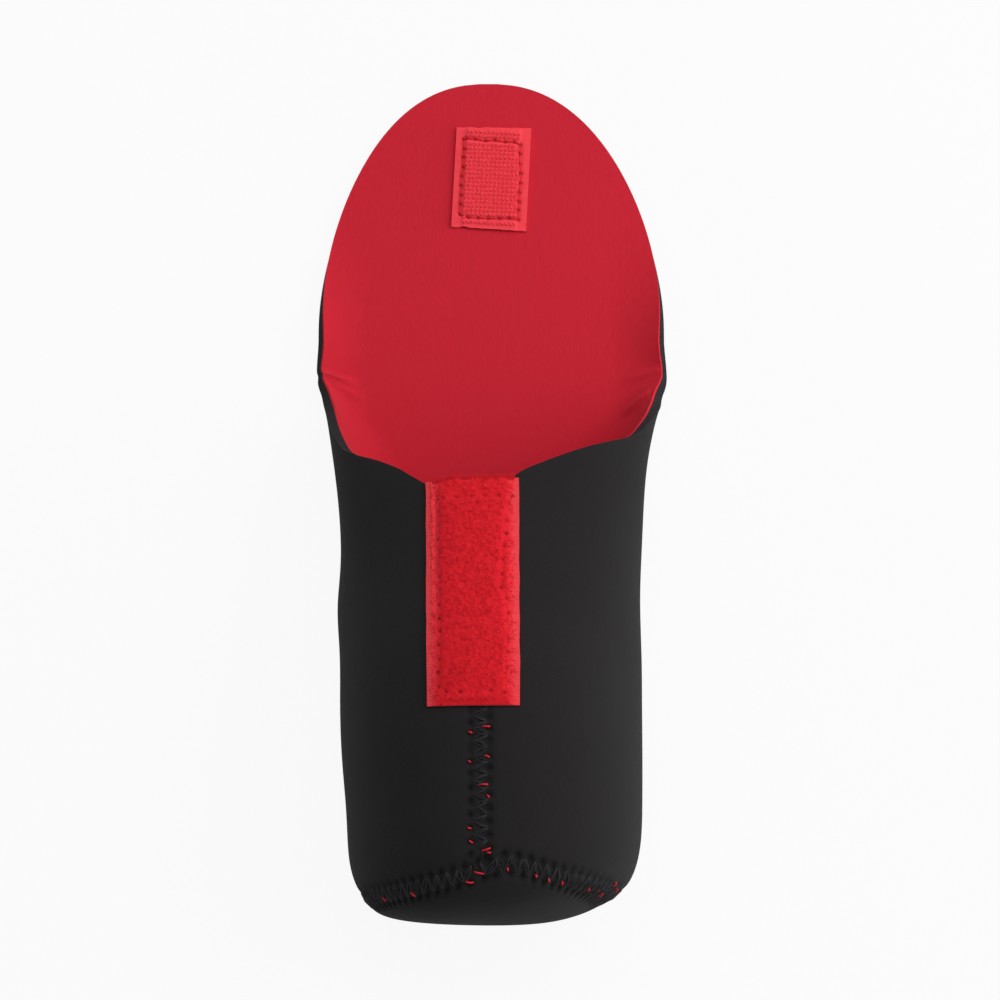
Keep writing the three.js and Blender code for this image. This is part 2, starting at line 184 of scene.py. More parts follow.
def section(u, v):
    """Place across the pouch of a point of the sheet, u along it from the middle of the back."""
    half, flat, radius, front = section_sizes(v)
    side = -1 if u < 0 else 1
    along = abs(u)
    if along <= flat:
        return u, 0
    turn = (along - flat) / radius
    if turn <= math.pi / 2:
        return side * (flat + radius * math.sin(turn)), radius * (1 - math.cos(turn))
    share = (along - flat - radius * math.pi / 2) / front_arc(half, front - radius)
    if share > 1:
        side, share = -side, 2 - share
    turn = share * math.pi / 2
    power = 2 / front_roundness
    return side * half * math.cos(turn) ** power, radius + (front - radius) * math.sin(turn) ** power


def base_share(v):
    down = ramp(corner_v - v, 0, corner_v)
    return (1 - down**base_roundness) ** (1 / base_roundness)


def wrap(u, v):
    x, z = section(u, v)
    share = base_share(v)
    x *= share
    drawn_in = base_left_in * ramp(-x, 0, body_half) * bump(v - base_left_in_v, base_left_in_reach)
    x += drawn_in - base_sag_left * bump(v, base_sag_reach)
    return Vector((x, base_y + v, base_centre_z + (z - base_centre_z) * share))


def past_top(left, v):
    """Distance along the sheet from the top of the front to a point this far left of the middle."""
    half, flat, radius, front = section_sizes(v)
    share = min(1, abs(left) / max(0.1, base_share(v)) / half)
    turn = math.acos(share ** (front_roundness / 2))
    return math.copysign((1 - turn / (math.pi / 2)) * front_arc(half, front - radius), left)


def base_seam_v(u):
    loop = 2 * loop_half(corner_v)
    past_peak = (u - loop / 2 + past_top(base_seam_peak_right, corner_v)) % loop
    on_left = past_peak < loop / 2
    away = past_peak if on_left else loop - past_peak
    rounded = math.hypot(away, 0.0008)
    return base_seam_back_v + base_seam_peak * math.exp(-rounded / base_seam_reach[on_left])


def cut_half(v, side):
    """Half-width of the cut sheet at v, on the right (1) or the left (-1)."""
    seam_v = min(v, notch_v)
    loop = loop_half(seam_v) + side * past_top(seam_left, seam_v) - seam_gap / 2
    if v <= notch_v:
        return loop
    if v > widest_v:
        share = min(1, (v - widest_v) / (tip_v - widest_v))
        power_along, power_across = flap_end_powers
        return flap_half * (1 - share**power_along) ** power_across - side * tip_left * share**3
    places = [(notch_v, loop)] + rim_places[side]
    return sum(between(places, v + shift) for shift in (-0.0016, -0.0008, 0, 0.0008, 0.0016)) / 5


# Share of the sheet's rows up to each place along it, closer together where it bends.
row_places = [
    (0.00, 0),
    (0.10, corner_v),
    (0.32, notch_v),
    (0.56, fold_v),
    (0.71, fold_v + 0.024),
    (0.88, tip_v - 0.03),
    (0.96, tip_v - 0.004),
    (1.00, tip_v - 0.00005),
]

# Places where the sides stand fuller, as (u, v), height and reach along v.
full_places = [
    (-0.050, 0.090, 0.0011, 0.011),
    (0.050, 0.110, 0.0010, 0.016),
]

# Creases where a side wall opens out into the flap: ends as (u, v), then depth and width.
creases = [
    ((0.0510, 0.1640), (0.0390, 0.1612), 0.0008, 0.0014),
    ((0.0500, 0.1553), (0.0395, 0.1506), 0.0014, 0.0013),
    ((-0.0525, 0.1622), (-0.0400, 0.1602), 0.0013, 0.0012),
    ((-0.0480, 0.1585), (-0.0380, 0.1560), 0.0007, 0.0014),
]


def slow_wave(point):
    """Uneven fullness of the foam, fading out towards the floor that the back lies on."""
    return 0.0007 * ramp(point.z, 0.002, 0.012) * noise.noise(point / 0.03)


def from_seam(u, v):
    """Distance across from the front seam, or a large one at the back."""
    return abs(wrap(u, v).x + seam_left) if abs(u) > 0.6 * loop_half(v) else 1


@functools.cache
def soft_waves(u, v):
    """How far the soft sheet stands out from its plain shape: slow waves, creases and the sunk seams."""
    relief = slow_wave(wrap(u, v))
    for full_u, full_v, height, reach in full_places:
        relief += height * bump(v - full_v, reach) * bump(u - full_u, 0.016)
    for (u_a, v_a), (u_b, v_b), depth, width in creases:
        run = Vector((u_b - u_a, v_b - v_a))
        here = Vector((u - u_a, v - v_a))
        share = ramp(here.dot(run) / run.length_squared, 0, 1)
        beside = (here - run * share).length
        relief -= depth * math.sin(math.pi * (0.2 + 0.8 * share)) * bump(beside, width)
    if v < notch_v:
        to_seam = min(from_seam(u, v), abs(v - base_seam_v(u)))
        relief -= seam_sink * bump(to_seam, seam_sink_reach)
    return relief


def needle_dent(along, across):
    """Depth of the zigzag's needle holes beside a seam, at a place along it and across from it."""
    past_hole = (along / stitch_pitch % 1 - 0.5) * stitch_pitch
    return needle_depth * bump(past_hole, needle_reach) * bump(abs(across) - stitch_reach, needle_reach)


@functools.cache
def seam_dents(u, v):
    """Depth of the needle holes beside the front seam and the base seam."""
    if v > notch_v:
        return 0
    beside_front = needle_dent(v + math.copysign(stitch_pitch / 4, u), from_seam(u, v))
    return max(beside_front, needle_dent(u, v - base_seam_v(u)))


def sewn_waves(u, v):
    return soft_waves(u, v) - seam_dents(u, v)


@functools.cache
def cut_outline(across, along):
    """Place (u, v) on the cut sheet, from shares across it and along it, closer together at the seams."""
    v = between(row_places, along + 0.5)
    side = math.copysign(1, across)
    share = abs(2 * across) + 0.6 * math.sin(math.pi * abs(2 * across)) / math.pi
    u = side * share * cut_half(max(v, corner_v), side)
    if v < corner_v:
        v = corner_v - (1 - v / corner_v) * (corner_v - base_seam_v(u) - seam_gap / 2)
        u = side * share * cut_half(v, side)
    return u, v


def flat_slab(outline, columns, rows, thickness, keep):
    """A layer as it is cut: flat, with its outline, its thickness downwards and its UV map in metres."""
    slab = bmesh.new()
    bmesh.ops.create_grid(slab, x_segments=columns, y_segments=rows, size=0.5)
    for vertex in slab.verts:
        vertex.co = (*outline(vertex.co.x, vertex.co.y), 0)
    dropped = [face for face in slab.faces if not keep(face.calc_center_median().y)]
    bmesh.ops.delete(slab, geom=dropped, context="FACES")
    cut = slab.loops.layers.uv.new("cut")
    for face in slab.faces:
        for loop in face.loops:
            loop[cut].uv = loop.vert.co.xy
    made = bmesh.ops.extrude_face_region(slab, geom=slab.faces[:], use_keep_orig=True)
    under = [item for item in made["geom"] if isinstance(item, bmesh.types.BMVert)]
    bmesh.ops.translate(slab, verts=under, vec=(0, 0, -thickness))
    return slab


@functools.cache
def surface(place, a, b):
    """A shaped surface's point and its outward direction, where place(a, b) gives the point."""
    step = 0.0003
    along = place(a, b + step) - place(a, b - step)
    across = place(a + step, b) - place(a - step, b)
    return place(a, b), along.cross(across).normalized()


def shaped_layer(name, slab, place, relief, inset, needled=None):
    """Wrap a flat slab onto a shaped surface, this far in from it, and make it a piece.
    Where it is needled, how near each point is to a needle hole is kept for the material's painted hole
    shade."""
    hole_nearness = []
    for vertex in slab.verts:
        a, b, depth = vertex.co
        point, outward = surface(place, a, b)
        vertex.co = point + outward * (relief(a, b) - inset + depth)
        hole_nearness.append(needled(a, b) if needled else 0)
    bmesh.ops.recalc_face_normals(slab, faces=slab.faces[:])
    mesh = bpy.data.meshes.new(name)
    slab.to_mesh(mesh)
    slab.free()
    if needled:
        mesh.attributes.new("needled", "FLOAT", "POINT").data.foreach_set("value", hole_nearness)
    mesh.shade_smooth()
    mesh.set_sharp_from_angle(angle=math.radians(50))
    piece = bpy.data.objects.new(name, mesh)
    bpy.context.scene.collection.objects.link(piece)
    return piece


def sheet_layer(name, half, relief, inset, thickness, needled=None):
    """One layer of the pouch with the flap's root, or of the rest of the flap."""
    wanted = {"pouch": lambda v: v < split_v, "flap": lambda v: v > split_v}[half]
    slab = flat_slab(cut_outline, 200, 230, thickness, wanted)
    return shaped_layer(name, slab, wrap, relief, inset, needled)


def screen(red, green, blue):
    """A colour given as screen values from 0 to 255, as the linear colour that a shader takes."""
    parts = [value / 255 for value in (red, green, blue)]
    return [part / 12.92 if part < 0.04 else ((part + 0.055) / 1.055) ** 2.4 for part in parts] + [1]


def start_material(name, roughness, specular):
    material = bpy.data.materials.new(name)
    material.use_nodes = True
    shader = material.node_tree.nodes["Principled BSDF"]
    shader.inputs["Roughness"].default_value = roughness
    shader.inputs["Specular IOR Level"].default_value = specular
    return material, material.node_tree, shader


def calc(tree, operation, *values):
    """A Math node, fed with sockets or plain numbers."""
    node = tree.nodes.new("ShaderNodeMath")
    node.operation = operation
    for socket, value in zip(node.inputs, values):
        if isinstance(value, (int, float)):
            socket.default_value = value
        else:
            tree.links.new(value, socket)
    return node.outputs[0]


def mix_colours(tree, share, colour_a, colour_b):
    node = tree.nodes.new("ShaderNodeMix")
    node.data_type = "RGBA"
    tree.links.new(share, node.inputs["Factor"])
    for socket, colour in ((node.inputs[6], colour_a), (node.inputs[7], colour_b)):
        if isinstance(colour, list):
            socket.default_value = colour
        else:
            tree.links.new(colour, socket)
    return node.outputs[2]


def cut_place(tree):
    """The flat cut's UV map as a place in metres."""
    node = tree.nodes.new("ShaderNodeUVMap")
    node.uv_map = "cut"
    return node.outputs[0]


def uneven_place(tree):
    """The flat cut's place, shifted a little to and fro, as yarns wander."""
    place = cut_place(tree)
    wander = tree.nodes.new("ShaderNodeTexNoise")
    wander.inputs["Scale"].default_value = 700
    tree.links.new(place, wander.inputs["Vector"])
    shift = tree.nodes.new("ShaderNodeVectorMath")
    shift.operation = "MULTIPLY_ADD"
    tree.links.new(wander.outputs["Color"], shift.inputs[0])
    shift.inputs[1].default_value = (0.0007, 0.0007, 0)
    tree.links.new(place, shift.inputs[2])
    return shift.outputs[0]


def clouds(tree, scale, detail):
    """Slow noise through the object, from 0 to 1."""
    where = tree.nodes.new("ShaderNodeTexCoord")
    node = tree.nodes.new("ShaderNodeTexNoise")
    node.inputs["Scale"].default_value = scale
    node.inputs["Detail"].default_value = detail
    tree.links.new(where.outputs["Object"], node.inputs["Vector"])
    return node.outputs["Fac"]


def needle_hole_shade(tree):
    """How near a needle hole is, from 0 to 1, where a piece has been sewn: the mask of the painted hole
    shade.
    """
    node = tree.nodes.new("ShaderNodeAttribute")
    node.attribute_name = "needled"
    return node.outputs["Fac"]


def raise_surface(tree, shader, height, distance):
    node = tree.nodes.new("ShaderNodeBump")
    node.inputs["Distance"].default_value = distance
    tree.links.new(height, node.inputs["Height"])
    tree.links.new(node.outputs[0], shader.inputs["Normal"])


def knit_group():
    """Columns of V-shaped knit stitches on a flat cut, put out as a height from 0 to 1."""
    group = bpy.data.node_groups.new("knit stitches", "ShaderNodeTree")
    group.interface.new_socket("Place", in_out="INPUT", socket_type="NodeSocketVector")
    group.interface.new_socket("Wales per metre", in_out="INPUT", socket_type="NodeSocketFloat")
    group.interface.new_socket("Courses per metre", in_out="INPUT", socket_type="NodeSocketFloat")
    group.interface.new_socket("Height", in_out="OUTPUT", socket_type="NodeSocketFloat")
    given = group.nodes.new("NodeGroupInput")
    result = group.nodes.new("NodeGroupOutput")
    apart = group.nodes.new("ShaderNodeSeparateXYZ")
    group.links.new(given.outputs["Place"], apart.inputs[0])
    column = calc(group, "FRACT", calc(group, "MULTIPLY", apart.outputs["X"], given.outputs[1]))
    beside = calc(group, "ABSOLUTE", calc(group, "MULTIPLY_ADD", column, 2, -1))
    slant = calc(group, "MULTIPLY", beside, 0.6)
    row = calc(group, "MULTIPLY_ADD", apart.outputs["Y"], given.outputs[2], slant)
    wave = calc(group, "SINE", calc(group, "MULTIPLY", row, 2 * math.pi))
    loop = calc(group, "MULTIPLY_ADD", wave, 0.5, 0.5)
    ridge = calc(group, "SUBTRACT", 1, calc(group, "POWER", beside, 4))
    height = calc(group, "MULTIPLY", ridge, calc(group, "MULTIPLY_ADD", loop, 0.65, 0.35))
    group.links.new(height, result.inputs[0])
    return group


knit_stitches = knit_group()


def jersey_material(name, yarn, valley_shade, faded, sheen):
    """Fine knit: yarn colour on stitches, painted shade between them and in needle holes, faded in slow
    patches.
    """
    material, tree, shader = start_material(name, roughness=0.9, specular=0.06)
    shader.inputs["Sheen Weight"].default_value = sheen
    shader.inputs["Sheen Roughness"].default_value = 0.45
    knit = tree.nodes.new("ShaderNodeGroup")
    knit.node_tree = knit_stitches
    tree.links.new(uneven_place(tree), knit.inputs["Place"])
    knit.inputs["Wales per metre"].default_value = 2700
    knit.inputs["Courses per metre"].default_value = 3300
    # The valley colour is painted shade where the knit stitches are low, between them.
    stitch_colour = mix_colours(tree, knit.outputs["Height"], valley_shade, yarn)
    patch = calc(tree, "MULTIPLY", clouds(tree, 45, 4), 0.5)
    patchy = mix_colours(tree, patch, stitch_colour, faded)
    # Near-black painted shade in and round the needle holes beside the seams.
    hole_shaded = mix_colours(tree, needle_hole_shade(tree), patchy, screen(6, 5, 6))
    tree.links.new(hole_shaded, shader.inputs["Base Color"])
    fuzz = calc(tree, "MULTIPLY_ADD", clouds(tree, 2600, 2), 0.7, knit.outputs["Height"])
    raise_surface(tree, shader, fuzz, 0.00007)
    return material


def finish_piece(piece, material, slot, *nodes):
    piece.data.materials.clear()
    piece.data.materials.append(material)
    if nodes:
        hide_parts(*nodes)


# Yarn colour, painted shade between the stitches, and the faded patch colour.
black_jersey = jersey_material(
    "black jersey", screen(37, 35, 36), screen(26, 25, 26), screen(39, 37, 39), sheen=0.06
)
split_v = fold_v + 0.033  # the flap is parted here, between its two bends
pouch_jersey = sheet_layer(
    "pouch_jersey",
    "pouch",
    sewn_waves,
    0,
    jersey_thickness,
    lambda u, v: seam_dents(u, v) / needle_depth,
)
flap_jersey = sheet_layer("flap_end_jersey", "flap", sewn_waves, 0, jersey_thickness)


def bend_at_folds(pouch_piece, flap_piece):
    """Bake the world placing of the pouch's piece and of the flap's piece into their meshes."""
    if pouch_piece:
        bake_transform(pouch_piece)
    if flap_piece:
        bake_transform(flap_piece)


bend_at_folds(pouch_jersey, flap_jersey)
finish_piece(pouch_jersey, black_jersey, "black_jersey", "body_outer_jersey", "flap_outer_jersey")
finish_piece(flap_jersey, black_jersey, "black_jersey", "flap_tip_outer_jersey")

# Foam core of the body and flap
# A soft sponge sheet between the two jerseys, cut to the same outline and bonded to both. Its raw black
# edge shows round the rim of the mouth and the whole way round the flap.
glue_line = 0.00004
foam_thickness = wall - 2 * (jersey_thickness + glue_line)


def foam_material():
    material, tree, shader = start_material("foam", roughness=0.95, specular=0.1)
    where = tree.nodes.new("ShaderNodeTexCoord")
    pores = tree.nodes.new("ShaderNodeTexVoronoi")
    pores.inputs["Scale"].default_value = 2400
    tree.links.new(where.outputs["Object"], pores.inputs["Vector"])
    # The pores are painted darker towards their middles, painted shade in the hollows that the bump makes.
    pore_shade_fade = calc(tree, "MULTIPLY", pores.outputs["Distance"], 1.4)
    colour = mix_colours(tree, pore_shade_fade, screen(20, 20, 21), screen(47, 45, 47))
    tree.links.new(colour, shader.inputs["Base Color"])
    raise_surface(tree, shader, pores.outputs["Distance"], 0.0002)
    return material


foam = foam_material()
pouch_foam = sheet_layer("pouch_foam", "pouch", soft_waves, jersey_thickness + glue_line, foam_thickness)
flap_foam = sheet_layer("flap_end_foam", "flap", soft_waves, jersey_thickness + glue_line, foam_thickness)
bend_at_folds(pouch_foam, flap_foam)
finish_piece(pouch_foam, foam, "foam", "body_foam_core", "flap_foam_core")
finish_piece(flap_foam, foam, "foam", "flap_tip_foam_core")

# Red jersey lining of the body and flap
# The same knit in red, bonded to the inside of the foam and cut with it. It lines the pocket, and on the
# open flap it is the face that shows.
# Yarn colour, painted shade between the stitches, and the faded patch colour.
red_jersey = jersey_material(
    "red jersey", screen(207, 40, 56), screen(187, 31, 46), screen(200, 38, 53), sheen=0.05
)
lining_inset = wall - jersey_thickness
pouch_lining = sheet_layer("pouch_lining", "pouch", soft_waves, lining_inset, jersey_thickness)
flap_lining = sheet_layer("flap_end_lining", "flap", soft_waves, lining_inset, jersey_thickness)
bend_at_folds(pouch_lining, flap_lining)
finish_piece(pouch_lining, red_jersey, "red_jersey", "body_lining", "flap_lining")
finish_piece(flap_lining, red_jersey, "red_jersey", "flap_tip_lining")

# Base panel
# An oval of the same three-layer laminate, domed by the pull of its seam and butted to the lower edge of
# the body all the way round.


def panel_outline(x, y):
    """Place on the cut oval, up and to the right of its middle, from shares of a square."""
    return 2 * x * math.sqrt(1 - 2 * y**2) * panel_up, 2 * y * math.sqrt(1 - 2 * x**2) * panel_right


def panel_place(up, right):
    """The place (u, v) on the wrapped pouch of a point of the cut oval."""
    x = right / panel_right
    y = up / panel_up
    u = math.atan2(x, -y) / math.pi * loop_half(corner_v)
    share = math.hypot(x, y) * base_share(base_seam_v(u) - seam_gap / 2)
    return u, corner_v * (1 - (1 - min(1, share) ** base_roundness) ** (1 / base_roundness))


def dome(up, right):
    return wrap(*panel_place(up, right))


def panel_waves(up, right):
    u, v = panel_place(up, right)
    return slow_wave(wrap(u, v)) - seam_sink * bump(base_seam_v(u) - v, seam_sink_reach)


def panel_dents(up, right):
    u, v = panel_place(up, right)
    return needle_dent(u + stitch_pitch / 2, base_seam_v(u) - v)


def panel_layer(name, relief, inset, thickness, needled=None):
    slab = flat_slab(panel_outline, 120, 140, thickness, lambda v: True)
    return shaped_layer(name, slab, dome, relief, inset, needled)


panel_up = 0.0335
panel_right = 0.0415
base_jersey = panel_layer(
    "base_outer_jersey_panel",
    lambda up, right: panel_waves(up, right) - panel_dents(up, right),
    0,
    jersey_thickness,
    lambda up, right: panel_dents(up, right) / needle_depth,
)
base_foam = panel_layer("base_foam_panel", panel_waves, jersey_thickness + glue_line, foam_thickness)
base_lining = panel_layer("base_lining_panel", panel_waves, lining_inset, jersey_thickness)
for layer in (base_jersey, base_foam, base_lining):
    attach(layer, "pouch")
finish_piece(base_jersey, black_jersey, "black_jersey", "base_outer_jersey")
finish_piece(base_foam, foam, "foam", "base_foam_core")
finish_piece(base_lining, red_jersey, "red_jersey", "base_lining")

# Front seam
# The two long edges of the sheet are butted and caught together with a zigzag of trebled black thread.
# Specks of the red thread used inside show between its legs.
tape_low, tape_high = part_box("loop_tape_ground")
tape_bottom_v = tape_low.y - base_y + 0.0005
tape_top_v = tape_high.y - base_y
sewing = random.Random(7)


def front_place(left, v):
    """A place on the front of the pouch, to the left of the front seam."""
    return wrap(loop_half(v) + past_top(seam_left + left, v), v)


def over_front(left, v, height):
    point, outward = surface(front_place, left, v)
    return point + outward * (slow_wave(point) - seam_sink * bump(left, seam_sink_reach) + height)


def zigzag(over, start, end, shift):
    """Runs of trebled thread from needle hole to needle hole, where over() gives each point."""
    first = math.ceil(start / stitch_pitch) * stitch_pitch + shift
    runs = []
    for strand in (-1, 0, 1):
        run = []
        for leg in range(math.floor((end - start) / stitch_pitch) * 2):
            side = 1 if leg % 2 else -1
            apart = strand * 0.0005 + sewing.uniform(-0.0007, 0.0007)
            reach = stitch_reach * sewing.uniform(0.75, 1.05)
            for share, height in ((0, -0.0010), (0.12, 0), (0.5, 0.00045), (0.88, 0)):
                across = side * reach * (2 * share - 1)
                along = first + (leg + share) * stitch_pitch / 2 + apart * math.sin(math.pi * share)
                run.append(over(across, along, height + sewing.uniform(-0.00008, 0.00008)))
        runs.append(run)
    return runs


def short_stitches(over, stitches, height):
    """Runs of single short stitches, each given by its middle along and across, half-length and slant."""
    runs = []
    for along, across, half_length, slant in stitches:
        run = []
        for share, lift in ((-1.3, -0.0004), (-0.8, 0), (0, 0.0001), (0.8, 0), (1.3, -0.0004)):
            run.append(over(across + share * half_length, along + share * slant, height + lift))
        runs.append(run)
    return runs


def thread_piece(name, runs, radius, roundness, material, slot, *nodes):
    """Thread laid along runs of points, as one mesh of round strands."""
    curve = bpy.data.curves.new(name, "CURVE")
    curve.dimensions = "3D"
    curve.bevel_depth = radius
    curve.bevel_resolution = roundness
    curve.use_fill_caps = True
    for run in runs:
        spline = curve.splines.new("POLY")
        spline.points.add(len(run) - 1)
        for point, place in zip(spline.points, run):
            point.co = (*place, 1)
    strands = bpy.data.objects.new(name + "_line", curve)
    bpy.context.scene.collection.objects.link(strands)
    made = strands.evaluated_get(bpy.context.evaluated_depsgraph_get())
    mesh = bpy.data.meshes.new_from_object(made)
    bpy.data.objects.remove(strands)
    mesh.shade_smooth()
    piece = bpy.data.objects.new(name, mesh)
    bpy.context.scene.collection.objects.link(piece)
    finish_piece(piece, material, slot, *nodes)
    return piece


def thread_material(name, bright, dull):
    """Spun thread: a fine uneven twist in two tones, a little glossy."""
    material, tree, shader = start_material(name, roughness=0.7, specular=0.15)
    twist = clouds(tree, 3500, 1)
    tree.links.new(mix_colours(tree, twist, dull, bright), shader.inputs["Base Color"])
    raise_surface(tree, shader, twist, 0.0001)
    return material


black_thread = thread_material("black thread", screen(56, 54, 58), screen(14, 14, 15))
red_thread = thread_material("red thread", screen(236, 48, 62), screen(176, 14, 30))
front_zigzag = thread_piece(
    "front_zigzag",
    zigzag(over_front, 0.0158, tape_bottom_v + 0.002, stitch_pitch / 4),
    0.00012,
    1,
    black_thread,
    "black_thread",
    "front_seam_thread",
)
front_specks = [
    (0.0516, -0.0016, 0.0008, 0.0000),
    (0.0500, 0.0027, 0.0003, 0.0001),
    (0.0435, -0.0019, 0.0004, 0.0002),
    (0.0421, 0.0030, 0.0002, 0.0001),
    (0.0359, -0.0008, 0.0010, 0.0000),
    (0.0327, -0.0022, 0.0002, 0.0002),
    (0.0241, 0.0032, 0.0003, 0.0001),
    (0.0204, 0.0027, 0.0003, 0.0002),
    (0.0183, -0.0016, 0.0009, -0.0003),
    (0.0175, -0.0024, 0.0003, 0.0000),
]
front_red = thread_piece(
    "front_red_stitches",
    short_stitches(over_front, front_specks, 0.0002),
    0.00024,
    1,
    red_thread,
    "red_thread",
)
for piece in (front_zigzag, front_red):
    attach(piece, "pouch")

# Base seam
# The lower edge of the body and the edge of the base panel are butted and zigzagged in the same way, all
# the way round.


def base_seam_place(u, across):
    return wrap(u, base_seam_v(u) + across)


def over_base_seam(across, u, height):
    point, outward = surface(base_seam_place, u, across)
    return point + outward * (slow_wave(point) - seam_sink * bump(across, seam_sink_reach) + height)


front_seam_u = loop_half(corner_v) + past_top(seam_left, corner_v)
base_zigzag = thread_piece(
    "base_zigzag",
    zigzag(over_base_seam, front_seam_u - 2 * loop_half(corner_v), front_seam_u, 0),
    0.00012,
    1,
    black_thread,
    "black_thread",
    "base_seam_thread",
)
base_specks = [
    (front_seam_u + 0.0407, -0.0008, 0.0005, 0.0008),
    (front_seam_u + 0.0237, -0.0014, 0.0005, 0.0007),
    (front_seam_u + 0.0030, -0.0023, 0.0003, 0.0008),
    (front_seam_u + 0.0004, -0.0008, 0.0005, 0.0010),
    (front_seam_u - 0.0059, -0.0019, 0.0003, 0.0001),
    (front_seam_u - 0.0145, -0.0016, 0.0002, 0.0001),
    (front_seam_u - 0.0191, -0.0016, 0.0003, 0.0002),
    (front_seam_u - 0.0246, -0.0014, 0.0003, 0.0001),
    (front_seam_u - 0.0388, -0.0010, 0.0003, 0.0002),
    (front_seam_u - 0.0446, -0.0003, 0.0005, 0.0004),
    (front_seam_u - 0.0503, -0.0010, 0.0004, 0.0000),
    (front_seam_u - 0.0523, 0.0021, 0.0004, 0.0001),
    (front_seam_u - 0.0594, 0.0010, 0.0004, 0.0002),
]
base_red = thread_piece(
    "base_red_stitches",
    short_stitches(over_base_seam, base_specks, 0.0002),
    0.00024,
    1,
    red_thread,
    "red_thread",
)
for piece in (base_zigzag, base_red):
    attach(piece, "pouch")

# Loop tape on the front
# A woven red tape with plain ribbed selvages and a brushed pile between them. It lies over the top of the
# front seam, stands a little above the lowest point of the rim, and is sewn on round its edge in red.
tape_half = 0.0125
tape_selvage = 0.0020
tape_seat = 0.0001
tape_ground = 0.0007
tape_pile = 0.0012
tape_middle = 0.0018  # to the left of the front seam
tape_skew = 0.045  # its top is cut a little out of square
tape_drift = 0.0010  # its left edge is pulled out this far at the top


def tape_place(left, v):
    return front_place(left + tape_middle, v)


def tape_waves(left, v):
    return slow_wave(tape_place(left, v))


def over_tape(left, v, height):
    point, outward = surface(tape_place, left, v)
    return point + outward * (slow_wave(point) + height)


def stitch_line(corners, stitch):
    """Needle holes at even steps round a closed line of corners."""
    holes = []
    to_next = 0
    for a, b in zip(corners, corners[1:] + corners[:1]):
        run = Vector(b) - Vector(a)
        while to_next < run.length:
            slip = Vector((sewing.uniform(-0.0003, 0.0003), sewing.uniform(-0.0003, 0.0003)))
            holes.append(Vector(a) + run * (to_next / run.length) + slip)
            to_next += stitch
        to_next -= run.length
    return holes


def lockstitches(over, holes, height):
    """Runs of thread from hole to hole, sinking into each one."""
    runs = []
    for a, b in zip(holes, holes[1:] + holes[:1]):
        run = []
        for share, lift in ((0.06, -0.0006), (0.2, 0), (0.5, 0.00012), (0.8, 0), (0.94, -0.0006)):
            run.append(over(*a.lerp(b, share), height + lift))
        runs.append(run)
    return runs


def nearest(holes, a, b):
    """Distance from the nearest needle hole, and from the stitch line through them."""
    here = Vector((a, b))
    to_hole = min((here - hole).length for hole in holes)
    to_line = to_hole
    for start, end in zip(holes, holes[1:] + holes[:1]):
        if (here - start).length < 0.004:
            run = end - start
            share = ramp((here - start).dot(run) / run.length_squared, 0, 1)
            to_line = min(to_line, (here - start - run * share).length)
    return to_hole, to_line


def beside_holes(holes, evenness):
    """How near a needle hole is, from 0 to 1, where uneven holes show less in places: the mask of painted
    hole shade.
    """

    def nearness(a, b):
        shown = ramp(noise.noise(Vector((a, b, 0)) / 0.003) + evenness, 0, 1)
        return shown * bump(nearest(holes, a, b)[0], 0.0005)

    return nearness


def weave_group():
    """Plain weave on a flat cut: the height of its threads from 0 to 1."""
    group = bpy.data.node_groups.new("plain weave", "ShaderNodeTree")
    group.interface.new_socket("Place", in_out="INPUT", socket_type="NodeSocketVector")
    group.interface.new_socket("Warps per metre", in_out="INPUT", socket_type="NodeSocketFloat")
    group.interface.new_socket("Wefts per metre", in_out="INPUT", socket_type="NodeSocketFloat")
    group.interface.new_socket("Height", in_out="OUTPUT", socket_type="NodeSocketFloat")
    given = group.nodes.new("NodeGroupInput")
    result = group.nodes.new("NodeGroupOutput")
    apart = group.nodes.new("ShaderNodeSeparateXYZ")
    group.links.new(given.outputs["Place"], apart.inputs[0])
    waves = []
    for axis, count in (("X", 1), ("Y", 2)):
        turn = calc(group, "MULTIPLY", apart.outputs[axis], given.outputs[count])
        waves.append(calc(group, "SINE", calc(group, "MULTIPLY", turn, math.pi)))
    over = calc(group, "MULTIPLY", *waves)
    weft = calc(group, "ABSOLUTE", waves[1])
    height = calc(group, "MULTIPLY_ADD", over, 0.35, calc(group, "MULTIPLY", weft, 0.65))
    group.links.new(height, result.inputs[0])
    return group


plain_weave = weave_group()


def tape_material(name, raised, sunk, hole, warps, wefts):
    """Woven tape: raised and sunk threads in two tones, the sunk ones as painted shade, worn in patches,
    painted shade at needle holes.
    """
    material, tree, shader = start_material(name, roughness=0.7, specular=0.06)
    shader.inputs["Sheen Weight"].default_value = 0.1
    shader.inputs["Sheen Tint"].default_value = raised
    weave = tree.nodes.new("ShaderNodeGroup")
    weave.node_tree = plain_weave
    tree.links.new(cut_place(tree), weave.inputs["Place"])
    weave.inputs["Warps per metre"].default_value = warps
    weave.inputs["Wefts per metre"].default_value = wefts
    uneven = calc(tree, "MULTIPLY_ADD", clouds(tree, 420, 3), 0.6, weave.outputs["Height"])
    # Low threads take the darker tone, painted shade in the weave's hollows, mixed with random worn
    # patches.
    threads = mix_colours(tree, calc(tree, "SUBTRACT", uneven, 0.15), sunk, raised)
    # The hole colour is painted shade in and round the needle holes.
    colour = mix_colours(tree, needle_hole_shade(tree), threads, hole)
    tree.links.new(colour, shader.inputs["Base Color"])
    raise_surface(tree, shader, weave.outputs["Height"], 0.00008)
    return material


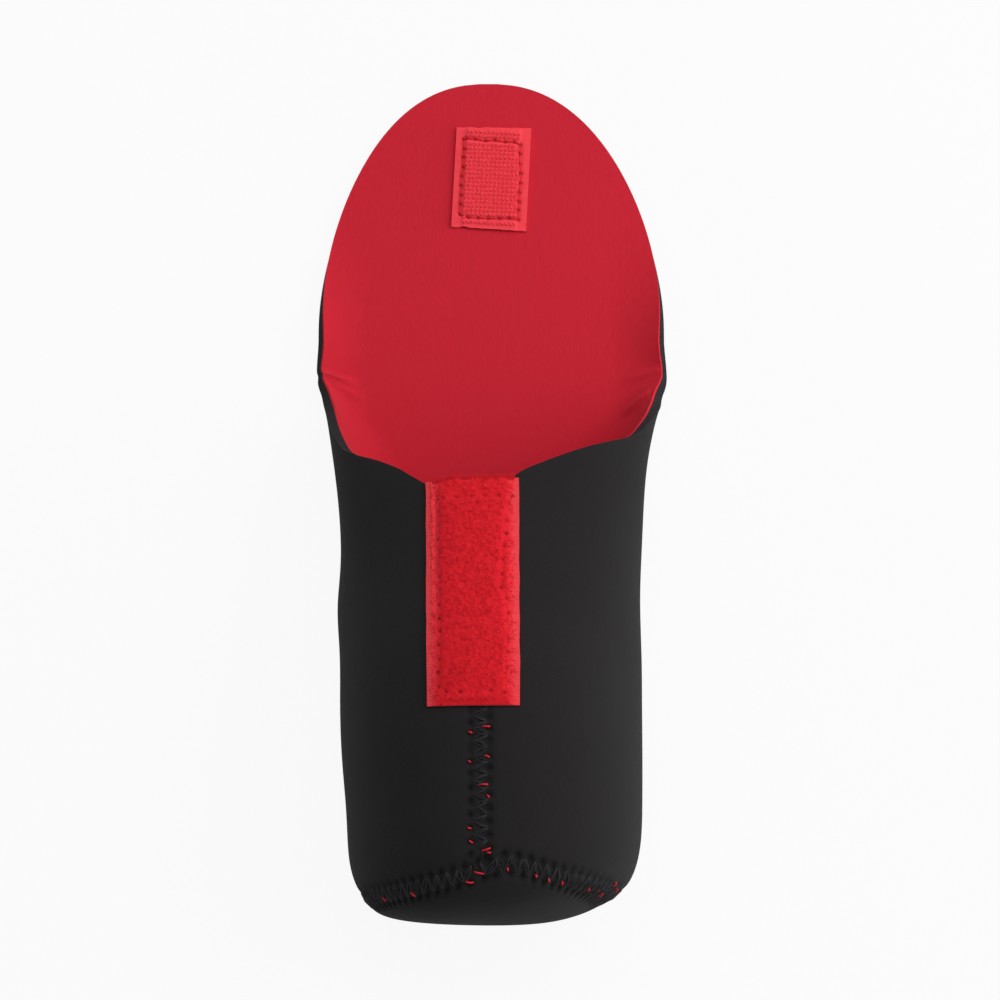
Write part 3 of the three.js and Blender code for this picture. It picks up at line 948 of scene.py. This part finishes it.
# The third colour is the painted shade of the needle holes.
selvage_weave = tape_material(
    "selvage weave", screen(234, 74, 82), screen(202, 46, 54), screen(84, 4, 10), 1800, 2600
)
loop_stitch_corners = [
    (0.0104, tape_top_v - 0.0060),
    (0.0100, tape_top_v - 0.0200),
    (0.0094, tape_top_v - 0.0400),
    (0.0093, tape_bottom_v + 0.0034),
    (-0.0092, tape_bottom_v + 0.0034),
    (-0.0094, tape_bottom_v + 0.0200),
    (-0.0091, tape_bottom_v + 0.0300),
    (-0.0076, tape_bottom_v + 0.0335),
    (-0.0080, tape_top_v - 0.0220),
    (-0.0090, tape_top_v - 0.0120),
    (-0.0106, tape_top_v - 0.0048),
]
loop_holes = stitch_line(loop_stitch_corners, 0.0039)


def loop_ground_outline(x, y):
    along = tape_bottom_v + (y + 0.5) * (tape_top_v - tape_bottom_v)
    edge = 0.00015 * noise.noise(Vector((math.copysign(9, x), along / 0.006, 0)))
    left = 2 * x * (tape_half + edge) + tape_drift * (x + 0.5) * (y + 0.5)
    return left, along - tape_skew * left * (y + 0.5)


def loop_ground_relief(left, v):
    ribs = 0.00006 * math.sin(2 * math.pi * v / 0.0008) * ramp(abs(left), 0.0086, 0.0096)
    return tape_waves(left, v) + ribs


loop_ground = shaped_layer(
    "loop_tape_woven_ground",
    flat_slab(loop_ground_outline, 60, 240, tape_ground, lambda v: True),
    tape_place,
    loop_ground_relief,
    -tape_seat - tape_ground,
    beside_holes(loop_holes, 0.6),
)
finish_piece(loop_ground, selvage_weave, "tape_weave", "loop_tape_ground")


def pile_outline(x, y):
    low = tape_bottom_v + 0.0001
    along = low + (y + 0.5) * (tape_top_v - 0.0001 - low)
    edge = 0.0006 * noise.noise(Vector((math.copysign(5, x), along / 0.003, 0)))
    left = 2 * x * (tape_half - tape_selvage + 0.0004 + edge) + tape_drift * (x + 0.5) * (y + 0.5)
    return left, along - tape_skew * left * (y + 0.5)


def pile_relief(left, v):
    """Brushed tufts, rounded off at the sides and the lower end, trodden down by the stitches."""
    tufts = 0.00022 * noise.fractal(Vector((left, v, 0)) / 0.0011, 0.9, 2.0, 3)
    edge = bump(min(tape_half - tape_selvage + 0.0004 - abs(left), v - tape_bottom_v), 0.0016)
    to_hole, to_line = nearest(loop_holes, left, v)
    trodden = 0.00025 * bump(to_line, 0.0008) + 0.0003 * bump(to_hole, 0.0005)
    return tape_waves(left, v) + tufts * (1 - edge) - 0.0006 * edge - trodden


def pile_material():
    """Brushed loops: bright tips over a deep red, a slow lie of the nap, thin towards the selvages, painted
    shade at needle holes.
    """
    material, tree, shader = start_material("loop pile", roughness=0.9, specular=0.04)
    shader.inputs["Sheen Weight"].default_value = 0.3
    shader.inputs["Sheen Tint"].default_value = screen(255, 120, 125)
    tips = calc(tree, "MULTIPLY", clouds(tree, 1500, 2), 0.5)
    nap = calc(tree, "MULTIPLY_ADD", clouds(tree, 260, 3), 0.6, tips)
    brushed = mix_colours(tree, nap, screen(192, 21, 33), screen(219, 36, 47))
    apart = tree.nodes.new("ShaderNodeSeparateXYZ")
    tree.links.new(cut_place(tree), apart.inputs[0])
    to_edge = calc(tree, "MULTIPLY_ADD", calc(tree, "ABSOLUTE", apart.outputs["X"]), 500, -4.4)
    thin = calc(tree, "MULTIPLY", calc(tree, "MINIMUM", calc(tree, "MAXIMUM", to_edge, 0), 1), 0.8)
    worn = mix_colours(tree, thin, brushed, screen(228, 58, 67))
    # Painted shade, nearly black, in and round the needle holes.
    colour = mix_colours(tree, needle_hole_shade(tree), worn, screen(60, 2, 8))
    tree.links.new(colour, shader.inputs["Base Color"])
    raise_surface(tree, shader, clouds(tree, 2400, 3), 0.00008)
    return material


loop_pile = pile_material()
pile_level = tape_seat + tape_ground + 0.65 * tape_pile
pile_bed = shaped_layer(
    "loop_tape_pile_bed",
    flat_slab(pile_outline, 66, 190, 0.65 * tape_pile - 0.0001, lambda v: True),
    tape_place,
    pile_relief,
    -pile_level,
    beside_holes(loop_holes, 0.6),
)
finish_piece(pile_bed, loop_pile, "loop_pile", "loop_tape_pile")

fibres = []
for fibre in range(5600):
    share = Vector((sewing.uniform(-0.5, 0.5), sewing.uniform(-0.5, 0.5)))
    left, v = pile_outline(*share)
    to_hole, to_line = nearest(loop_holes, left, v)
    tall = sewing.uniform(0.2, 0.6) * (1 - 0.8 * bump(to_line, 0.0009)) * 0.001
    turn = sewing.uniform(0, 2 * math.pi)
    lean = Vector((math.cos(turn), math.sin(turn))) * sewing.uniform(0.0003, 0.0009)
    curl = Vector((-lean.y, lean.x)) * sewing.uniform(-0.8, 0.8)
    foot = pile_relief(left, v) - tape_waves(left, v) + pile_level - 0.0002
    run = []
    for step, rise in ((0, 0), (0.35, 0.75), (0.75, 1), (1.2, 0.7)):
        move = lean * step + curl * step**2
        run.append(over_tape(left + move.x, max(tape_bottom_v, v + move.y), foot + tall * rise))
    fibres.append(run)
for fibre in range(420):
    left = sewing.uniform(-0.0112, 0.0112)
    edge_v = pile_outline(left / (2 * tape_half), 0.5)[1] - 0.0006
    lean = Vector((sewing.uniform(-0.0006, 0.0006), sewing.uniform(0.0006, 0.0019)))
    tall = sewing.uniform(-0.0001, 0.0006)
    run = []
    for step, rise in ((0, -0.3), (0.4, 0.5), (0.8, 1), (1.1, 0.8)):
        height = pile_level - 0.0002 + tall * rise
        run.append(over_tape(left + lean.x * step**2, edge_v + lean.y * step, height))
    fibres.append(run)
pile_fibres = thread_piece("loop_tape_pile_fibres", fibres, 0.000045, 0, loop_pile, "loop_pile")
loop_stitches = thread_piece(
    "loop_tape_lockstitches",
    lockstitches(over_tape, loop_holes, pile_level - 0.0005),
    0.00015,
    1,
    red_thread,
    "red_thread",
    "loop_tape_stitching",
)
for piece in (loop_ground, pile_bed, pile_fibres, loop_stitches):
    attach(piece, "pouch")

# Hook tape on the flap
# The other half of the fastening: a woven tape with plain selvages and a field of small bent hooks, sewn
# to the lining near the tip of the flap, a little askew.
hook_low, hook_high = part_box("hook_tape_ground")
hook_middle = (hook_low + hook_high) / 2
hook_half = Vector((0.01125, 0.01575))
hook_turn = math.radians(-2.9)
hook_selvage = 0.0027


def hook_place(left, up):
    """A place on the lining, left of and above the middle of the hook tape."""
    u = hook_middle.x - left * math.cos(hook_turn) - up * math.sin(hook_turn)
    v = hook_middle.y - base_y - left * math.sin(hook_turn) + up * math.cos(hook_turn)
    point, outward = surface(wrap, u, v)
    return point + outward * (soft_waves(u, v) - wall)


def over_hook_tape(left, up, height):
    point, outward = surface(hook_place, left, up)
    return point + outward * height


hook_stitch_corners = [(0.0088, 0.0118), (0.0088, -0.0122), (-0.0088, -0.0124), (-0.0085, 0.0116)]
hook_holes = stitch_line(hook_stitch_corners, 0.00295)


def hook_ground_outline(x, y):
    left = 2 * x * hook_half.x
    up = 2 * y * hook_half.y
    frayed = 0.0004 * noise.noise(Vector((left / 0.003, math.copysign(4, y), 0)))
    askew = -0.037 * left if y > 0 else 0.016 * left
    return left, up + abs(2 * y) * askew + frayed * ramp(abs(y), 0.4, 0.5)


def hook_ground_relief(left, up):
    field = 0.00025 * ramp(hook_half.x - hook_selvage - abs(left), 0, 0.0008)
    to_hole, to_line = nearest(hook_holes, left, up)
    return field - 0.0003 * bump(to_line, 0.0006) - 0.0003 * bump(to_hole, 0.0005)


# The third colour is the painted shade of the needle holes.
hook_weave = tape_material(
    "hook tape weave", screen(247, 77, 88), screen(223, 50, 62), screen(96, 6, 16), 1800, 2600
)
hook_ground = shaped_layer(
    "hook_tape_woven_ground",
    flat_slab(hook_ground_outline, 70, 110, tape_ground, lambda v: True),
    hook_place,
    hook_ground_relief,
    -tape_seat - tape_ground,
    beside_holes(hook_holes, 1),
)
finish_piece(hook_ground, hook_weave, "tape_weave", "hook_tape_ground")

hook_pitch = 0.00128
hook_rise = 0.0012
hook_yarn = thread_material("hook yarn", screen(255, 92, 106), screen(224, 42, 57))
hooks = []
for row in range(-11, 12):
    for column in range(-6, 7):
        left = column * hook_pitch + sewing.uniform(-0.0001, 0.0001)
        up = row * hook_pitch + sewing.uniform(-0.0001, 0.0001)
        to_hole, to_line = nearest(hook_holes, left, up)
        if to_line < 0.0006:
            continue
        reach = Vector((0.0004 if row % 2 else -0.0004, 0.0005))
        run = []
        for step, rise in ((-0.7, 0.1), (-0.6, 0.6), (-0.1, 0.95), (0.5, 0.9), (0.8, 0.55)):
            place = (left + reach.x * step, up + reach.y * step)
            run.append(over_hook_tape(*place, tape_seat + tape_ground + hook_rise * rise))
        hooks.append(run)
hook_field = thread_piece(
    "hook_tape_hook_field", hooks, 0.00017, 0, hook_yarn, "hook_yarn", "hook_tape_hooks"
)
hook_stitches = thread_piece(
    "hook_tape_lockstitches",
    lockstitches(over_hook_tape, hook_holes, tape_seat + tape_ground + 0.0003),
    0.0002,
    1,
    red_thread,
    "red_thread",
    "hook_tape_stitching",
)
for piece in (hook_ground, hook_field, hook_stitches):
    bend_at_folds(None, piece)

# Studio
# A plain pale floor under the pouch, even light from a pale world and three large soft lamps.


def floor_material():
    material, tree, shader = start_material("floor", roughness=0.9, specular=0.1)
    shader.inputs["Base Color"].default_value = (0.6, 0.6, 0.6, 1)
    white = tree.nodes.new("ShaderNodeEmission")
    path = tree.nodes.new("ShaderNodeLightPath")
    seen = calc(tree, "MAXIMUM", path.outputs["Is Camera Ray"], path.outputs["Is Glossy Ray"])
    seen = calc(tree, "MAXIMUM", seen, path.outputs["Is Transmission Ray"])
    mix = tree.nodes.new("ShaderNodeMixShader")
    tree.links.new(calc(tree, "MULTIPLY", seen, 0.92), mix.inputs[0])
    tree.links.new(shader.outputs[0], mix.inputs[1])
    tree.links.new(white.outputs[0], mix.inputs[2])
    tree.links.new(mix.outputs[0], tree.nodes["Material Output"].inputs["Surface"])
    return material


floor_mesh = bmesh.new()
bmesh.ops.create_grid(floor_mesh, x_segments=1, y_segments=1, size=6)
bmesh.ops.translate(floor_mesh, verts=floor_mesh.verts, vec=(0, 0, cad_box[0].z - 0.0003))
floor_data = bpy.data.meshes.new("floor")
floor_mesh.to_mesh(floor_data)
floor_data.materials.append(floor_material())
floor = bpy.data.objects.new("floor", floor_data)
bpy.context.scene.collection.objects.link(floor)

world = bpy.data.worlds.new("studio")
bpy.context.scene.world = world
world.use_nodes = True
sky = world.node_tree
sky_light = sky.nodes["Background"]
sky_light.inputs["Strength"].default_value = 0.32
sky_white = sky.nodes.new("ShaderNodeBackground")
sky_path = sky.nodes.new("ShaderNodeLightPath")
sky_seen = calc(sky, "MAXIMUM", sky_path.outputs["Is Camera Ray"], sky_path.outputs["Is Glossy Ray"])
sky_seen = calc(sky, "MAXIMUM", sky_seen, sky_path.outputs["Is Transmission Ray"])
sky_mix = sky.nodes.new("ShaderNodeMixShader")
for colour in (sky_light, sky_white):
    colour.inputs["Color"].default_value = (1, 1, 1, 1)
sky.links.new(sky_seen, sky_mix.inputs[0])
sky.links.new(sky_light.outputs[0], sky_mix.inputs[1])
sky.links.new(sky_white.outputs[0], sky_mix.inputs[2])
sky.links.new(sky_mix.outputs[0], sky.nodes["World Output"].inputs["Surface"])


def soft_lamp(name, place, power, size):
    lamp = bpy.data.lights.new(name, "AREA")
    lamp.shape = "DISK"
    lamp.size = size
    lamp.energy = power
    piece = bpy.data.objects.new(name, lamp)
    piece.location = place
    piece.rotation_euler = Vector(place).to_track_quat("Z", "Y").to_euler()
    bpy.context.scene.collection.objects.link(piece)


soft_lamp("key", (0.9, 0.35, 0.8), 8.6, 0.9)
soft_lamp("top", (0, 0.6, 1.2), 6, 0.9)
soft_lamp("side", (1.0, -0.1, 0.25), 4.5, 0.6)

# Camera
# It looks down on the pouch from its base end, as the photograph does.
camera_tilt = math.radians(10)
camera_distance = 0.9
picture_width = 1000 / 3500
looked_at = Vector((0.0026, base_y + 0.120, 0.035))
camera_data = bpy.data.cameras.new("camera")
camera_data.lens = 36 * camera_distance / picture_width
camera_data.sensor_width = 36
camera = bpy.data.objects.new("camera", camera_data)
camera.location = looked_at + camera_distance * Vector((0, -math.sin(camera_tilt), math.cos(camera_tilt)))
camera.rotation_euler = (camera_tilt, 0, 0)
bpy.context.scene.collection.objects.link(camera)
bpy.context.scene.camera = camera
bpy.context.scene.view_settings.view_transform = "Standard"
